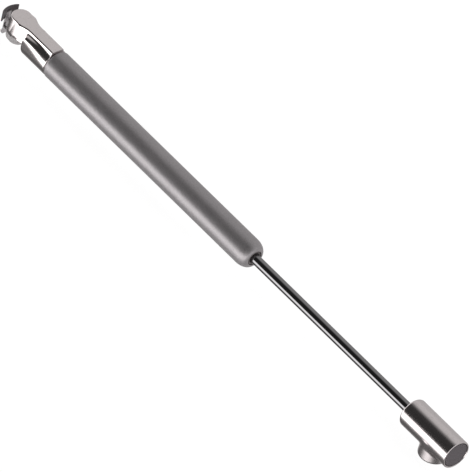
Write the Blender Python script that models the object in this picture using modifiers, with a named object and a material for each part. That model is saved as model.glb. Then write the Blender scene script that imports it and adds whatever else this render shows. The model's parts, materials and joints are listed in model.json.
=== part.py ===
"""Gas strut stay: a gas spring with a ball socket fitting on each end.

The strut lies along X, with its piston rod towards +X and both ball sockets opening down (-Z).
The origin is below the middle of the strut, in the plane of the lower socket's rim.
"""

import math

import bmesh
import bpy

MM = 0.001

# Driving dimensions, in millimetres. Places along the strut count from the tube's closed end.
FIT_GAP = 0.3              # between pieces that touch, thread into or slide on each other
SPAN = 1.0                 # clear overlap that a cutter or a joined shape has past its neighbour

TUBE_RADIUS = 9.0
TUBE_LENGTH = 183.4
TUBE_WALL = 1.2
TUBE_END_ROUNDING = 1.5
SHOULDER_LENGTH = 7.4      # the rolled end that closes over the rod guide
MOUTH_GAP = 1.8            # between the rod and the rolled end's lip
ROD_RADIUS = 3.0
ROD_SHOWN = 141.8          # rod between tube and lower fitting, fully extended
THREAD_DEPTH = 10.0        # of both end fittings
STUD_RADIUS = 3.9

PLUG_LENGTH = 11.0
PLUG_GROOVE_DEPTH = 1.9
PLUG_GROOVE_WIDTH = 2.6
GUIDE_LENGTH = 8.0
GUIDE_BUSH_WALL = 1.0
SEAL_LENGTH = 5.0
WASHER_THICKNESS = 1.4
STOP_RING_LENGTH = 2.4
PISTON_LENGTH = 9.0
PISTON_GROOVE_WIDTH = 4.0
PISTON_GROOVE_DEPTH = 1.6
PISTON_CLEARANCE = 0.8
VALVE_DISC_THICKNESS = 0.8
SPIGOT_RADIUS = 2.1
RIVET_LENGTH = 1.5

BALL_RADIUS = 4.0          # of the ball stud that either socket takes
BALL_CLEARANCE = 0.2
HEAD_WALL = 2.1            # of the head round its ball seat
HEAD_TOP = 9.9
HEAD_BOTTOM = -1.7
HEAD_ROUNDING = 1.6
HEAD_DISTANCE = 33.5       # head axis from the tube's closed end
HEAD_RIM_ROUNDING = 0.6
NECK_STEP = 0.25           # the neck is this much slimmer than the tube
NECK_LENGTH = 21.7
NECK_ROUNDING = 1.6
BRIDGE_STEP = 0.1          # the round bar from neck to head is this much slimmer than the head
ARM_HEIGHT = 2.0           # of the round bar's axis above the strut's
UPPER_SEAT_WALL = 1.1
UPPER_SEAT_BOTTOM = -8.0
COLLAR_STEP = 0.4          # the seat's collar is this much slimmer than the head
COLLAR_LENGTH = 4.1
CLIP_RADIUS = 11.6
CLIP_THICKNESS = 0.9
CLIP_BAND_TOP = 8.6
CLIP_BAND_HEIGHT = 8.2
CLIP_BAND_REACH = math.radians(31)
CLIP_WEB_REACH = math.radians(9)
CLIP_FOOT = -10.8
CLIP_LUG_RADIUS = 1.4
PRONG_HEIGHT = -3.4
PRONG_REACH = 2.4          # past the head's axis
PRONG_WIDTH = 1.5

LOWER_RADIUS = 9.2
LOWER_LENGTH = 40.4
LOWER_ROUNDING = 1.0
BOSS_RADIUS = 9.3
BOSS_DEPTH = 12.8          # rim plane below the strut's axis
BOSS_INSET = 16.7          # boss axis from the fitting's far end
LOWER_SEAT_WALL = 1.8
LOWER_SEAT_TOP = 0.6
SNAP_RING_WIRE = 0.6
CAP_RADIUS = 7.9
CAP_THICKNESS = 1.8

TURNS = 36                 # segments of a large round piece
SMALL_TURNS = 24           # segments of a small one
SECTION_POINTS = 12        # of a round section, such as an O-ring's
DOME_END = 84              # degrees from a ball seat's equator to the hole in its crown

# Places that follow from the sizes above.
BORE_RADIUS = TUBE_RADIUS - TUBE_WALL
INNER_RADIUS = BORE_RADIUS - FIT_GAP
ROD_HOLE_RADIUS = ROD_RADIUS + FIT_GAP
MOUTH_RADIUS = ROD_RADIUS + MOUTH_GAP
SHOULDER_DEPTH = TUBE_RADIUS - MOUTH_RADIUS
GUIDE_FRONT = TUBE_LENGTH - SHOULDER_LENGTH - FIT_GAP
GUIDE_BACK = GUIDE_FRONT - GUIDE_LENGTH
SEAL_FRONT = GUIDE_BACK - FIT_GAP
SEAL_BACK = SEAL_FRONT - SEAL_LENGTH
WASHER_FRONT = SEAL_BACK - FIT_GAP
WASHER_BACK = WASHER_FRONT - WASHER_THICKNESS
STOP_FRONT = WASHER_BACK - FIT_GAP
STOP_BACK = STOP_FRONT - STOP_RING_LENGTH
ROD_SHOULDER = STOP_BACK
FRONT_WASHER_FRONT = ROD_SHOULDER - FIT_GAP
FRONT_WASHER_BACK = FRONT_WASHER_FRONT - WASHER_THICKNESS
PISTON_FRONT = FRONT_WASHER_BACK - FIT_GAP
PISTON_BACK = PISTON_FRONT - PISTON_LENGTH
VALVE_FRONT = PISTON_BACK - FIT_GAP
VALVE_BACK = VALVE_FRONT - VALVE_DISC_THICKNESS
REAR_WASHER_FRONT = VALVE_BACK - FIT_GAP
REAR_WASHER_BACK = REAR_WASHER_FRONT - WASHER_THICKNESS
RIVET_FRONT = REAR_WASHER_BACK - FIT_GAP
SPIGOT_HOLE_RADIUS = SPIGOT_RADIUS + FIT_GAP
PLUG_FACE = TUBE_WALL + FIT_GAP
STUD_HOLE_RADIUS = STUD_RADIUS + FIT_GAP
HEAD_PLACE = -HEAD_DISTANCE
LOWER_NEAR = TUBE_LENGTH + ROD_SHOWN
LOWER_FAR = LOWER_NEAR + LOWER_LENGTH
BOSS_PLACE = LOWER_FAR - BOSS_INSET
CUP_RADIUS = BALL_RADIUS + BALL_CLEARANCE
UPPER_SEAT_RADIUS = CUP_RADIUS + UPPER_SEAT_WALL
UPPER_SEAT_TOP = UPPER_SEAT_RADIUS
HEAD_RADIUS = UPPER_SEAT_RADIUS + HEAD_WALL
LOWER_SEAT_RADIUS = CUP_RADIUS + LOWER_SEAT_WALL
NECK_RADIUS = TUBE_RADIUS - NECK_STEP
BRIDGE_RADIUS = HEAD_RADIUS - BRIDGE_STEP
STRUT_START = HEAD_PLACE - CLIP_RADIUS - CLIP_LUG_RADIUS
MIDDLE = (STRUT_START + LOWER_FAR) / 2

STEEL = ((0.46, 0.45, 0.46, 1), 0.42, 0.9)
ZINC = ((0.72, 0.70, 0.69, 1), 0.14, 1.0)
NITRIDED = ((0.01, 0.01, 0.012, 1), 0.16, 0.6)
SPRING_STEEL = ((0.22, 0.21, 0.22, 1), 0.35, 0.9)
BRIGHT_STEEL = ((0.60, 0.60, 0.62, 1), 0.3, 1.0)
SINTERED = ((0.35, 0.34, 0.33, 1), 0.6, 0.9)
BRONZE = ((0.50, 0.33, 0.16, 1), 0.4, 1.0)
RUBBER = ((0.02, 0.02, 0.02, 1), 0.8, 0.0)
PALE_PLASTIC = ((0.62, 0.61, 0.60, 1), 0.45, 0.0)
DARK_PLASTIC = ((0.04, 0.04, 0.045, 1), 0.5, 0.0)
GREY_PLASTIC = ((0.13, 0.12, 0.125, 1), 0.45, 0.0)


def clear_scene():
    for existing in list(bpy.data.objects):
        bpy.data.objects.remove(existing, do_unlink=True)


def new_collection(name):
    made = bpy.data.collections.new(name)
    bpy.context.scene.collection.children.link(made)
    return made


def paint(obj, look):
    colour, roughness, metallic = look
    material = bpy.data.materials.new(obj.name)
    material.use_nodes = True
    shader = material.node_tree.nodes["Principled BSDF"]
    shader.inputs["Base Color"].default_value = colour
    shader.inputs["Roughness"].default_value = roughness
    shader.inputs["Metallic"].default_value = metallic
    obj.data.materials.append(material)


def arc(centre_a, centre_b, radius_a, radius_b, start, end, count):
    """Points on an ellipse's arc from one angle to another, both included, in degrees."""
    points = []
    for step in range(count + 1):
        angle = math.radians(start + (end - start) * step / count)
        across = centre_a + radius_a * math.cos(angle)
        points.append((across, centre_b + radius_b * math.sin(angle)))
    return points


def round_section(centre_a, centre_b, radius):
    """A closed circle's points, clockwise from its top."""
    last = 360 / SECTION_POINTS - 270
    return arc(centre_a, centre_b, radius, radius, 90, last, SECTION_POINTS - 1)


class Workshop:
    """Makes the strut's objects on one frame, whose X axis is the strut's own."""

    def __init__(self):
        self.parts = new_collection("gas_strut_stay")
        self.cutters = new_collection("cutters")
        self.frame = self.axis_empty("strut_axis", None, (-MIDDLE, 0, BOSS_DEPTH))
        self.rod = self.axis_empty("rod_axis", self.frame, (0, 0, 0))
        self.head = self.axis_empty("head_axis", self.frame, (HEAD_PLACE, 0, 0))
        self.clip = self.axis_empty("clip_axis", self.head, (0, 0, 0))
        self.boss = self.axis_empty("boss_axis", self.rod, (BOSS_PLACE, 0, 0))

    def axis_empty(self, name, parent, place):
        empty = bpy.data.objects.new(name, None)
        empty.empty_display_size = 10 * MM
        empty.parent = parent
        empty.location = [value * MM for value in place]
        self.parts.objects.link(empty)
        return empty

    def add(self, name, mesh, parent, cutter=False):
        obj = bpy.data.objects.new(name, mesh)
        obj.parent = parent
        (self.cutters if cutter else self.parts).objects.link(obj)
        obj.hide_render = cutter
        if cutter:
            obj.display_type = "WIRE"
        return obj

    def turned(self, name, profile, parent, along_x=True, turns=TURNS, cutter=False):
        """A profile of (radius, height) that runs down its outer side, screwed about X or Z."""
        mesh = bpy.data.meshes.new(name)
        points = [(radius * MM, 0, height * MM) for radius, height in profile]
        last = len(points) - 1
        edges = [(i, i + 1) for i in range(last)]
        if profile[0][0] > 0:
            edges.append((last, 0))
        mesh.from_pydata(points, edges, [])
        obj = self.add(name, mesh, parent, cutter)
        half_segment = math.pi / turns
        obj.rotation_euler = (0, math.pi / 2, 0) if along_x else (0, 0, half_segment)
        screw = obj.modifiers.new("turn", "SCREW")
        screw.axis = "Z"
        screw.steps = turns
        screw.render_steps = turns
        screw.use_merge_vertices = True
        screw.merge_threshold = 0.00001
        return obj

    def slab(self, name, loops, low, high, parent, cutter=False):
        """Flat outlines in the XY plane, filled and extruded from one height to another."""
        curve = bpy.data.curves.new(name, "CURVE")
        curve.dimensions = "2D"
        curve.fill_mode = "BOTH"
        curve.extrude = (high - low) / 2 * MM
        for loop in loops:
            spline = curve.splines.new("POLY")
            spline.points.add(len(loop) - 1)
            for point, (x, y) in zip(spline.points, loop):
                point.co = (x * MM, y * MM, 0, 1)
            spline.use_cyclic_u = True
        drawn = bpy.data.objects.new(name, curve)
        self.cutters.objects.link(drawn)
        bpy.context.view_layer.update()
        graph = bpy.context.evaluated_depsgraph_get()
        mesh = bpy.data.meshes.new_from_object(drawn.evaluated_get(graph))
        bpy.data.objects.remove(drawn, do_unlink=True)
        welded = bmesh.new()
        welded.from_mesh(mesh)
        bmesh.ops.remove_doubles(welded, verts=welded.verts, dist=0.000001)
        bmesh.ops.recalc_face_normals(welded, faces=welded.faces)
        welded.to_mesh(mesh)
        welded.free()
        obj = self.add(name, mesh, parent, cutter)
        obj.location = (0, 0, (low + high) / 2 * MM)
        return obj

    def shape(self, obj, other, operation):
        step = obj.modifiers.new(operation.lower() + " " + other.name, "BOOLEAN")
        step.operation = operation
        step.solver = "MANIFOLD"
        step.object = other

    def finish(self, obj, look):
        obj.data.shade_smooth()
        paint(obj, look)


def ring(outer, inner, back, front):
    """A plain ring's profile, between two places along the strut."""
    return [(inner, front), (outer, front), (outer, back), (inner, back)]


def rod_of(radius, back, front):
    """A plain solid round bar's profile."""
    return [(0, front), (radius, front), (radius, back), (0, back)]


def make_tube(shop):
    outer = arc(MOUTH_RADIUS, TUBE_LENGTH - SHOULDER_LENGTH, SHOULDER_DEPTH, SHOULDER_LENGTH, 90, 0, 6)
    corner = TUBE_RADIUS - TUBE_END_ROUNDING
    closed = arc(corner, TUBE_END_ROUNDING, TUBE_END_ROUNDING, TUBE_END_ROUNDING, 0, -90, 3)
    inside = arc(
        MOUTH_RADIUS,
        TUBE_LENGTH - SHOULDER_LENGTH,
        SHOULDER_DEPTH - TUBE_WALL,
        SHOULDER_LENGTH - TUBE_WALL,
        0,
        90,
        5,
    )
    hole = [(STUD_HOLE_RADIUS, 0), (STUD_HOLE_RADIUS, TUBE_WALL), (BORE_RADIUS, TUBE_WALL)]
    tube = shop.turned("cylinder_tube", outer + closed + hole + inside, shop.frame)
    shop.finish(tube, STEEL)


def make_end_plug(shop):
    back = PLUG_FACE + PLUG_LENGTH
    middle = PLUG_FACE + PLUG_LENGTH / 2
    groove = INNER_RADIUS - PLUG_GROOVE_DEPTH
    half = PLUG_GROOVE_WIDTH / 2
    profile = [
        (0, back),
        (INNER_RADIUS, back),
        (INNER_RADIUS, middle + half),
        (groove, middle + half),
        (groove, middle - half),
        (INNER_RADIUS, middle - half),
        (INNER_RADIUS, PLUG_FACE),
        (STUD_RADIUS, PLUG_FACE),
        (STUD_RADIUS, -THREAD_DEPTH),
        (0, -THREAD_DEPTH),
    ]
    plug = shop.turned("end_plug", profile, shop.frame, turns=SMALL_TURNS)
    shop.finish(plug, BRIGHT_STEEL)
    section = (PLUG_GROOVE_DEPTH - FIT_GAP) / 2
    seal = round_section(groove + FIT_GAP / 2 + section, middle, section)
    o_ring = shop.turned("end_plug_seal", seal, shop.frame, turns=SMALL_TURNS)
    shop.finish(o_ring, RUBBER)


def make_rod_guide(shop):
    nose_radius = MOUTH_RADIUS - FIT_GAP
    nose_front = TUBE_LENGTH - TUBE_WALL
    hole = ROD_HOLE_RADIUS + FIT_GAP + GUIDE_BUSH_WALL
    wiper_back = GUIDE_FRONT + FIT_GAP
    guide = shop.turned("rod_guide", ring(INNER_RADIUS, hole, GUIDE_BACK, GUIDE_FRONT), shop.frame)
    shop.finish(guide, DARK_PLASTIC)
    bush_profile = ring(hole - FIT_GAP, ROD_HOLE_RADIUS, GUIDE_BACK, GUIDE_FRONT)
    bush = shop.turned("guide_bush", bush_profile, shop.frame, turns=SMALL_TURNS)
    shop.finish(bush, BRONZE)
    lip = ROD_HOLE_RADIUS + FIT_GAP
    wiper_profile = [
        (lip, nose_front),
        (nose_radius, nose_front - FIT_GAP),
        (nose_radius, wiper_back),
        (ROD_HOLE_RADIUS, wiper_back),
        (ROD_HOLE_RADIUS, nose_front - SPAN),
    ]
    wiper = shop.turned("rod_wiper", wiper_profile, shop.frame, turns=SMALL_TURNS)
    shop.finish(wiper, RUBBER)


def make_seal_pack(shop):
    middle = (INNER_RADIUS + ROD_HOLE_RADIUS) / 2
    profile = [
        (ROD_HOLE_RADIUS, SEAL_FRONT),
        (INNER_RADIUS, SEAL_FRONT),
        (INNER_RADIUS, SEAL_BACK),
        (middle + SPAN / 2, SEAL_BACK),
        (middle, SEAL_BACK + SEAL_LENGTH / 2),
        (middle - SPAN / 2, SEAL_BACK),
        (ROD_HOLE_RADIUS, SEAL_BACK),
    ]
    seal = shop.turned("rod_seal", profile, shop.frame, turns=SMALL_TURNS)
    shop.finish(seal, RUBBER)
    washer_profile = ring(INNER_RADIUS, ROD_HOLE_RADIUS, WASHER_BACK, WASHER_FRONT)
    washer = shop.turned("seal_washer", washer_profile, shop.frame, turns=SMALL_TURNS)
    shop.finish(washer, BRIGHT_STEEL)
    stop_hole = ROD_HOLE_RADIUS + FIT_GAP
    stop = shop.turned("stop_ring", ring(INNER_RADIUS, stop_hole, STOP_BACK, STOP_FRONT), shop.frame)
    shop.finish(stop, BRIGHT_STEEL)


def make_piston_rod(shop):
    profile = [
        (0, LOWER_NEAR + THREAD_DEPTH),
        (ROD_RADIUS, LOWER_NEAR + THREAD_DEPTH),
        (ROD_RADIUS, ROD_SHOULDER),
        (SPIGOT_RADIUS, ROD_SHOULDER),
        (SPIGOT_RADIUS, RIVET_FRONT),
        (ROD_RADIUS, RIVET_FRONT),
        (ROD_RADIUS, RIVET_FRONT - RIVET_LENGTH / 2),
        (SPIGOT_RADIUS, RIVET_FRONT - RIVET_LENGTH),
        (0, RIVET_FRONT - RIVET_LENGTH),
    ]
    rod = shop.turned("piston_rod", profile, shop.rod)
    shop.finish(rod, NITRIDED)


def make_piston(shop):
    outer = BORE_RADIUS - PISTON_CLEARANCE
    middle = (PISTON_FRONT + PISTON_BACK) / 2
    half = PISTON_GROOVE_WIDTH / 2
    groove = outer - PISTON_GROOVE_DEPTH
    profile = [
        (SPIGOT_HOLE_RADIUS, PISTON_FRONT),
        (outer, PISTON_FRONT),
        (outer, middle + half),
        (groove, middle + half),
        (groove, middle - half),
        (outer, middle - half),
        (outer, PISTON_BACK),
        (SPIGOT_HOLE_RADIUS, PISTON_BACK),
    ]
    piston = shop.turned("piston", profile, shop.rod, turns=SMALL_TURNS)
    shop.finish(piston, SINTERED)
    inner = groove + FIT_GAP
    ring_profile = ring(INNER_RADIUS, inner, middle - half + FIT_GAP, middle + half - FIT_GAP)
    piston_ring = shop.turned("piston_ring", ring_profile, shop.frame, turns=SMALL_TURNS)
    shop.finish(piston_ring, DARK_PLASTIC)


def make_piston_washers(shop):
    outer = BORE_RADIUS - 2 * PISTON_CLEARANCE
    stack = (
        ("piston_front_washer", outer, FRONT_WASHER_BACK, FRONT_WASHER_FRONT),
        ("valve_disc", outer - SPAN, VALVE_BACK, VALVE_FRONT),
        ("piston_rear_washer", outer, REAR_WASHER_BACK, REAR_WASHER_FRONT),
    )
    for name, radius, back, front in stack:
        profile = ring(radius, SPIGOT_HOLE_RADIUS, back, front)
        washer = shop.turned(name, profile, shop.rod, turns=SMALL_TURNS)
        shop.finish(washer, BRIGHT_STEEL)


def prong_slot(shop, name):
    """The slot that the clip's two prongs pass through, open towards -X."""
    half_height = CLIP_THICKNESS / 2 + FIT_GAP
    half_width = CUP_RADIUS + FIT_GAP
    reach = PRONG_REACH + FIT_GAP
    outline = [
        (-HEAD_RADIUS - SPAN, -half_width),
        (reach, -half_width),
        (reach, half_width),
        (-HEAD_RADIUS - SPAN, half_width),
    ]
    low = PRONG_HEIGHT - half_height
    return shop.slab(name, [outline], low, PRONG_HEIGHT + half_height, shop.head, cutter=True)


def make_upper_fitting(shop):
    edge = NECK_RADIUS - NECK_ROUNDING
    neck_end = arc(edge, NECK_ROUNDING - NECK_LENGTH, NECK_ROUNDING, NECK_ROUNDING, 0, -90, 4)
    neck_profile = [(0, -FIT_GAP), (NECK_RADIUS, -FIT_GAP)] + neck_end + [(0, -NECK_LENGTH)]
    fitting = shop.turned("upper_end_fitting", neck_profile, shop.frame)
    crown = HEAD_TOP - HEAD_ROUNDING
    top = arc(HEAD_RADIUS - HEAD_ROUNDING, crown, HEAD_ROUNDING, HEAD_ROUNDING, 90, 0, 4)
    rim = HEAD_RADIUS - HEAD_RIM_ROUNDING
    low = arc(rim, HEAD_BOTTOM + HEAD_RIM_ROUNDING, HEAD_RIM_ROUNDING, HEAD_RIM_ROUNDING, 0, -90, 3)
    head_profile = [(0, HEAD_TOP)] + top + low + [(0, HEAD_BOTTOM)]
    head = shop.turned("head_body", head_profile, shop.head, along_x=False, cutter=True)
    bridge = shop.turned(
        "head_bridge",
        rod_of(BRIDGE_RADIUS, -HEAD_DISTANCE, -NECK_LENGTH / 2),
        shop.frame,
        turns=SMALL_TURNS,
        cutter=True,
    )
    bridge.location = (0, 0, ARM_HEIGHT * MM)
    under = shop.turned(
        "collar_room",
        rod_of(HEAD_DISTANCE - NECK_LENGTH - SPAN, ARM_HEIGHT - BRIDGE_RADIUS - SPAN, HEAD_BOTTOM),
        shop.head,
        along_x=False,
        cutter=True,
    )
    thread = shop.turned(
        "stud_thread",
        rod_of(STUD_HOLE_RADIUS, -THREAD_DEPTH - FIT_GAP, SPAN),
        shop.frame,
        turns=SMALL_TURNS,
        cutter=True,
    )
    pocket = shop.turned(
        "upper_pocket",
        rod_of(UPPER_SEAT_RADIUS + FIT_GAP, HEAD_BOTTOM - SPAN, UPPER_SEAT_TOP + FIT_GAP),
        shop.head,
        along_x=False,
        cutter=True,
    )
    shop.shape(fitting, bridge, "UNION")
    shop.shape(fitting, under, "DIFFERENCE")
    shop.shape(fitting, head, "UNION")
    shop.shape(fitting, thread, "DIFFERENCE")
    shop.shape(fitting, pocket, "DIFFERENCE")
    shop.shape(fitting, prong_slot(shop, "fitting_slot"), "DIFFERENCE")
    shop.finish(fitting, ZINC)


def make_upper_seat(shop):
    dome = arc(0, 0, CUP_RADIUS, CUP_RADIUS, 0, DOME_END, 6)
    collar = HEAD_RADIUS - COLLAR_STEP
    collar_top = HEAD_BOTTOM - FIT_GAP
    profile = [
        (dome[-1][0], UPPER_SEAT_TOP),
        (UPPER_SEAT_RADIUS, UPPER_SEAT_TOP),
        (UPPER_SEAT_RADIUS, collar_top),
        (collar, collar_top),
        (collar, collar_top - COLLAR_LENGTH),
        (UPPER_SEAT_RADIUS, collar_top - COLLAR_LENGTH),
        (UPPER_SEAT_RADIUS, UPPER_SEAT_BOTTOM),
        (CUP_RADIUS, UPPER_SEAT_BOTTOM),
    ] + dome
    seat = shop.turned("upper_ball_seat", profile, shop.head, along_x=False)
    shop.shape(seat, prong_slot(shop, "seat_slot"), "DIFFERENCE")
    shop.finish(seat, PALE_PLASTIC)


def band_outline(reach, inset):
    half = math.degrees(reach)
    outer = CLIP_RADIUS - inset
    inner = CLIP_RADIUS - CLIP_THICKNESS + inset
    outside = arc(0, 0, outer, outer, 180 - half, 180 + half, 10)
    inside = arc(0, 0, inner, inner, 180 + half, 180 - half, 10)
    return outside + inside


def make_clip(shop):
    low = CLIP_BAND_TOP - CLIP_BAND_HEIGHT
    band = band_outline(CLIP_BAND_REACH, 0)
    clip = shop.slab("retaining_clip", [band], low, CLIP_BAND_TOP, shop.clip)
    foot = PRONG_HEIGHT - CLIP_THICKNESS / 2
    web_outline = band_outline(CLIP_WEB_REACH, CLIP_THICKNESS / 8)
    web = shop.slab("clip_web", [web_outline], CLIP_FOOT, low + SPAN, shop.clip, cutter=True)
    outer = CUP_RADIUS
    inner = outer - PRONG_WIDTH
    inside_band = CLIP_RADIUS - CLIP_THICKNESS / 2
    root = -HEAD_RADIUS - SPAN
    web_half = math.sin(CLIP_WEB_REACH) * inside_band
    shoulder = web_half - CLIP_THICKNESS / 2
    prongs = [
        (-inside_band, shoulder),
        (root, outer),
        (PRONG_REACH, outer),
        (PRONG_REACH, inner),
        (root, inner),
        (root, -inner),
        (PRONG_REACH, -inner),
        (PRONG_REACH, -outer),
        (root, -outer),
        (-inside_band, -shoulder),
    ]
    plate = shop.slab("clip_prongs", [prongs], foot, foot + CLIP_THICKNESS, shop.clip, cutter=True)
    lug_half = web_half - CLIP_THICKNESS / 4
    lug = shop.turned(
        "clip_lug",
        rod_of(CLIP_LUG_RADIUS, -lug_half, lug_half),
        shop.clip,
        turns=SMALL_TURNS,
        cutter=True,
    )
    lug.rotation_euler = (math.pi / 2, 0, 0)
    lug.location = (-CLIP_RADIUS * MM, 0, CLIP_FOOT * MM)
    shop.shape(clip, web, "UNION")
    shop.shape(clip, plate, "UNION")
    shop.shape(clip, lug, "UNION")
    shop.finish(clip, SPRING_STEEL)


def make_lower_fitting(shop):
    edge = LOWER_RADIUS - LOWER_ROUNDING
    far = arc(edge, LOWER_FAR - LOWER_ROUNDING, LOWER_ROUNDING, LOWER_ROUNDING, 90, 0, 3)
    near = arc(edge, LOWER_NEAR + LOWER_ROUNDING, LOWER_ROUNDING, LOWER_ROUNDING, 0, -90, 3)
    profile = [(0, LOWER_FAR)] + far + near + [(0, LOWER_NEAR)]
    fitting = shop.turned("lower_end_fitting", profile, shop.rod)
    boss = shop.turned(
        "boss_body",
        rod_of(BOSS_RADIUS, -BOSS_DEPTH, SPAN),
        shop.boss,
        along_x=False,
        cutter=True,
    )
    thread = shop.turned(
        "rod_thread",
        rod_of(ROD_HOLE_RADIUS, LOWER_NEAR - SPAN, LOWER_NEAR + THREAD_DEPTH + FIT_GAP),
        shop.rod,
        turns=SMALL_TURNS,
        cutter=True,
    )
    pocket = shop.turned(
        "lower_pocket",
        rod_of(LOWER_SEAT_RADIUS + FIT_GAP, -BOSS_DEPTH - SPAN, LOWER_SEAT_TOP + FIT_GAP),
        shop.boss,
        along_x=False,
        cutter=True,
    )
    recess = shop.turned(
        "cap_recess",
        rod_of(CAP_RADIUS + FIT_GAP, LOWER_FAR - CAP_THICKNESS - FIT_GAP, LOWER_FAR + SPAN),
        shop.rod,
        cutter=True,
    )
    shop.shape(fitting, boss, "UNION")
    shop.shape(fitting, thread, "DIFFERENCE")
    shop.shape(fitting, pocket, "DIFFERENCE")
    shop.shape(fitting, recess, "DIFFERENCE")
    shop.finish(fitting, ZINC)


def make_end_cap(shop):
    profile = rod_of(CAP_RADIUS, LOWER_FAR - CAP_THICKNESS, LOWER_FAR)
    cap = shop.turned("lower_end_cap", profile, shop.rod)
    shop.finish(cap, GREY_PLASTIC)


def make_lower_seat(shop):
    ball_place = LOWER_SEAT_TOP - CUP_RADIUS - SPAN
    groove_place = ball_place - BALL_RADIUS / 2 - SPAN
    groove_depth = SNAP_RING_WIRE + FIT_GAP
    rim = -BOSS_DEPTH + FIT_GAP
    dome = arc(0, ball_place, CUP_RADIUS, CUP_RADIUS, 0, DOME_END, 6)
    profile = [
        (dome[-1][0], LOWER_SEAT_TOP),
        (LOWER_SEAT_RADIUS, LOWER_SEAT_TOP),
        (LOWER_SEAT_RADIUS, rim),
        (CUP_RADIUS, rim),
        (CUP_RADIUS, groove_place - groove_depth),
        (CUP_RADIUS + groove_depth, groove_place - groove_depth),
        (CUP_RADIUS + groove_depth, groove_place + groove_depth),
        (CUP_RADIUS, groove_place + groove_depth),
    ] + dome
    seat = shop.turned("lower_ball_seat", profile, shop.boss, along_x=False)
    shop.finish(seat, PALE_PLASTIC)
    wire = round_section(CUP_RADIUS, groove_place, SNAP_RING_WIRE)
    snap = shop.turned("lower_snap_ring", wire, shop.boss, along_x=False)
    shop.finish(snap, BRIGHT_STEEL)


def main():
    clear_scene()
    shop = Workshop()
    make_tube(shop)
    make_end_plug(shop)
    make_rod_guide(shop)
    make_seal_pack(shop)
    make_piston_rod(shop)
    make_piston(shop)
    make_piston_washers(shop)
    make_upper_fitting(shop)
    make_upper_seat(shop)
    make_clip(shop)
    make_lower_fitting(shop)
    make_end_cap(shop)
    make_lower_seat(shop)


main()
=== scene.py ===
import json
import math

import bmesh
import bpy
import numpy as np
from bpy.props import FloatProperty, FloatVectorProperty, IntProperty, PointerProperty
from mathutils import Matrix, Vector


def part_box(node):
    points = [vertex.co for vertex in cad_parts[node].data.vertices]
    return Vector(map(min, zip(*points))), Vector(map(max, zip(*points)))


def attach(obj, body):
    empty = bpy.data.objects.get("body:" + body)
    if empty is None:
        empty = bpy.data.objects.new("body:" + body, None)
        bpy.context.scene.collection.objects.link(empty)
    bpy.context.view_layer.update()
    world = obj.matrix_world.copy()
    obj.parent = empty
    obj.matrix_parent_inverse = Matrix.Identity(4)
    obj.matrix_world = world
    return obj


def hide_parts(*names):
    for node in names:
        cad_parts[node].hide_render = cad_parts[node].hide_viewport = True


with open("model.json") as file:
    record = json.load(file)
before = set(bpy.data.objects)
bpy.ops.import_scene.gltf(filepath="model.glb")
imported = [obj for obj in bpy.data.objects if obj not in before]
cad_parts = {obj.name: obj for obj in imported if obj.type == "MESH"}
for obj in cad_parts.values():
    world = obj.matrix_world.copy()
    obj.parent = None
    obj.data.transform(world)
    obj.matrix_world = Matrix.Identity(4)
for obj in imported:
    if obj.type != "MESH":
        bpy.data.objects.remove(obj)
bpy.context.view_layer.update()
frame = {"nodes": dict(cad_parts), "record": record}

bl_info = {
    "name": "Gas Strut Stay",
    "version": (1, 0, 0),
    "blender": (4, 5, 0),
    "location": "View3D > Sidebar > Strut",
    "description": "Builds a gas strut stay, its two ball socket fittings and a studio for it",
    "category": "Object",
}

MM = 0.001
GAP = 0.3 * MM  # clear space that pieces on the same body keep between them


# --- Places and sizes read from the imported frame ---


class Span:
    """A node's ends along the strut, its ends in height and its radius across the strut."""

    def __init__(self, node):
        low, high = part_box(node)
        self.start, self.end = low.x, high.x
        self.bottom, self.top = low.z, high.z
        self.radius = (high.y - low.y) / 2
        self.x = (low.x + high.x) / 2
        self.z = (low.z + high.z) / 2


SPANS = {node: Span(node) for node in frame["nodes"]}
AXIS_Z = SPANS["cylinder_tube"].z
STRUT_AXIS = (0, 0, AXIS_Z)
HEAD_X = SPANS["upper_ball_seat"].x
BOSS_X = SPANS["lower_ball_seat"].x
BODY_OF = {
    node: body for body, nodes in frame["record"]["behaviour"]["bodies"].items() for node in nodes
}


def size(name, description, value, low=0.0):
    """A length in metres, given in millimetres."""
    return FloatProperty(
        name=name, description=description, default=value * MM, min=low, unit="LENGTH", precision=5
    )


def colour(name, description, value):
    return FloatVectorProperty(
        name=name, description=description, default=value, size=3, min=0, max=1, subtype="COLOR"
    )


class StrutSizes(bpy.types.PropertyGroup):
    edge: size("Edge rounding", "Rounding of the small turned pieces' edges", 0.15)
    tube_wall: size("Tube wall", "Wall thickness of the cylinder tube", 1.2)
    shoulder: size("Rolled end", "Length of the rolled end over the rod guide", 7.4)
    mouth: size("Mouth radius", "Radius of the opening in the rolled end", 4.8)
    rod_radius: size("Rod radius", "Radius of the piston rod", 3.0)
    stud_radius: size("Stud radius", "Radius of the end plug's threaded stud", 3.9)
    thread_pitch: size("Thread pitch", "Distance between thread turns", 1.0)
    thread_depth: size("Thread depth", "Height of the thread's ridges", 0.35)
    ball_radius: size("Cup radius", "Radius of the hollow that takes the ball stud", 4.2)
    neck_radius: size("Neck radius", "Radius of the upper fitting's round neck", 8.75)
    neck_length: size("Neck length", "Length of the upper fitting's round neck", 21.7)
    arm_half_width: size("Arm half width", "Half the width of the arm's flat top", 4.0)
    head_top_radius: size("Head top radius", "Radius of the head's flat top", 6.1)
    body_radius: size("Lower body radius", "Radius of the lower fitting's round body", 9.2)
    boss_radius: size("Boss radius", "Radius of the lower fitting's socket boss", 9.3)
    skin: size("Skin fineness", "Side of the faces that cover a cast fitting", 0.28)
    turns: IntProperty(
        name="Turns", description="Segments round a turned piece", default=112, min=24
    )


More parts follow.
